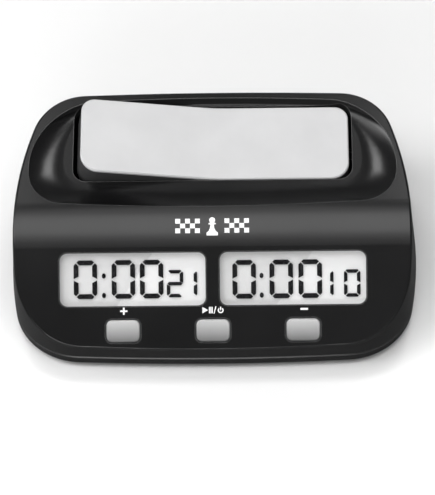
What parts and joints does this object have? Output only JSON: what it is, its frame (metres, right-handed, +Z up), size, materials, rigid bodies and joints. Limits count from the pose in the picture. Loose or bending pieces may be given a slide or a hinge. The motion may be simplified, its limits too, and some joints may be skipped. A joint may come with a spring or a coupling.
{
  "type": "chess clock",
  "caption": "Digital chess clock: black oval case with a sloping panel of two displays and keys, and a grey tilting rocker set in a dish on top.",
  "frame": {"origin": "centre of the footprint, on the surface that the feet stand on", "axes": "+X to the right of a reader facing the panel, +Y to the back, +Z up"},
  "size_m": [0.1478, 0.0952, 0.0497],
  "materials": {
    "case_black": "satin",
    "rocker_black": "satin",
    "rocker_grey": "smooth satin",
    "key_grey": "satin",
    "window_clear": "clear",
    "display_glass": "clear",
    "display_frame": "matte",
    "reflector": "matte",
    "contact_rubber": "matte",
    "foot_rubber": "matte",
    "board": "solder resist",
    "epoxy": "gloss",
    "component": "gloss",
    "steel": "brushed",
    "screw_steel": "zinc",
    "switch_black": "matte",
    "plunger": "matte",
    "brass": "smooth",
    "ceramic": "matte",
    "cell": "satin",
    "lead_red": "matte",
    "lead_black": "matte"
  },
  "bodies": {
    "case": {"battery_cell": "cell", "battery_lead_black": "lead_black", "battery_lead_red": "lead_red", "buzzer_leads": "lead_black", "capacitor": "component", "carrier_screws": "screw_steel", "case_screws": "screw_steel", "contact_plate": "steel", "contact_spring": "steel", "crystal": "steel", "detent_spring": "steel", "foot_back_left": "foot_rubber", "foot_back_right": "foot_rubber", "foot_front_left": "foot_rubber", "foot_front_right": "foot_rubber", "key_switch_minus": "switch_black", "key_switch_play": "switch_black", "key_switch_plus": "switch_black", "lcd_frame_left": "display_frame", "lcd_frame_right": "display_frame", "lcd_glass_left": "display_glass", "lcd_glass_right": "display_glass", "lcd_reflector_left": "reflector", "lcd_reflector_right": "reflector", "lens_left": "window_clear", "lens_right": "window_clear", "lower_shell": "case_black", "main_pcb": "board", "mcu_blob": "epoxy", "micro_switch_left": "switch_black", "micro_switch_right": "switch_black", "pcb_screws": "screw_steel", "piezo_ceramic": "ceramic", "piezo_disc": "brass", "pivot_pin": "steel", "smd_parts": "component", "switch_carrier": "display_frame", "switch_leads": "lead_black", "upper_shell": "case_black", "zebra_strip_left": "contact_rubber", "zebra_strip_right": "contact_rubber"},
    "rocker": {"rocker_body": "rocker_black", "rocker_plate": "rocker_grey"},
    "key_plus": {"key_cap_plus": "key_grey"},
    "key_play": {"key_cap_play": "key_grey"},
    "key_minus": {"key_cap_minus": "key_grey"},
    "stem_plus": {"key_plunger_plus": "plunger"},
    "stem_play": {"key_plunger_play": "plunger"},
    "stem_minus": {"key_plunger_minus": "plunger"},
    "plunger_left": {"switch_plunger_left": "plunger"},
    "plunger_right": {"switch_plunger_right": "plunger"},
    "door": {"battery_door": "case_black"}
  },
  "joints": [
    {"name": "rocker_tilt", "type": "hinge", "parent": "case", "child": "rocker", "pos_m": [0, 0.02517, 0.03187], "axis": [0, -0.9903, -0.1392], "range_deg": [0, 10], "deforming": ["detent_spring"]},
    {"name": "key_plus_press", "type": "slide", "parent": "case", "child": "key_plus", "axis": [0, 0.5736, -0.8192], "range_m": [0, 0.0006], "stiffness_N_per_m": 1500},
    {"name": "stem_plus_press", "type": "slide", "parent": "case", "child": "stem_plus", "axis": [0, 0.5736, -0.8192], "range_m": [0, 0.0006]},
    {"name": "key_play_press", "type": "slide", "parent": "case", "child": "key_play", "axis": [0, 0.5736, -0.8192], "range_m": [0, 0.0006], "stiffness_N_per_m": 1500},
    {"name": "stem_play_press", "type": "slide", "parent": "case", "child": "stem_play", "axis": [0, 0.5736, -0.8192], "range_m": [0, 0.0006]},
    {"name": "key_minus_press", "type": "slide", "parent": "case", "child": "key_minus", "axis": [0, 0.5736, -0.8192], "range_m": [0, 0.0006], "stiffness_N_per_m": 1500},
    {"name": "stem_minus_press", "type": "slide", "parent": "case", "child": "stem_minus", "axis": [0, 0.5736, -0.8192], "range_m": [0, 0.0006]},
    {"name": "plunger_left_travel", "type": "slide", "parent": "case", "child": "plunger_left", "axis": [0, 0.1392, -0.9903], "range_m": [0, 0.00158]},
    {"name": "plunger_right_travel", "type": "slide", "parent": "case", "child": "plunger_right", "axis": [0, -0.1392, 0.9903], "range_m": [0, 0.00158]},
    {"name": "door_hinge", "type": "hinge", "parent": "case", "child": "door", "pos_m": [0, -0.01235, 0.0025], "axis": [-1, 0, 0], "range_deg": [0, 80]}
  ],
  "couplings": [
    {"joint": "stem_plus_press", "follows": "key_plus_press", "ratio": 1},
    {"joint": "stem_play_press", "follows": "key_play_press", "ratio": 1},
    {"joint": "stem_minus_press", "follows": "key_minus_press", "ratio": 1},
    {"joint": "plunger_left_travel", "follows": "rocker_tilt", "m_per_rad": 0.009},
    {"joint": "plunger_right_travel", "follows": "rocker_tilt", "m_per_rad": 0.009}
  ]
}
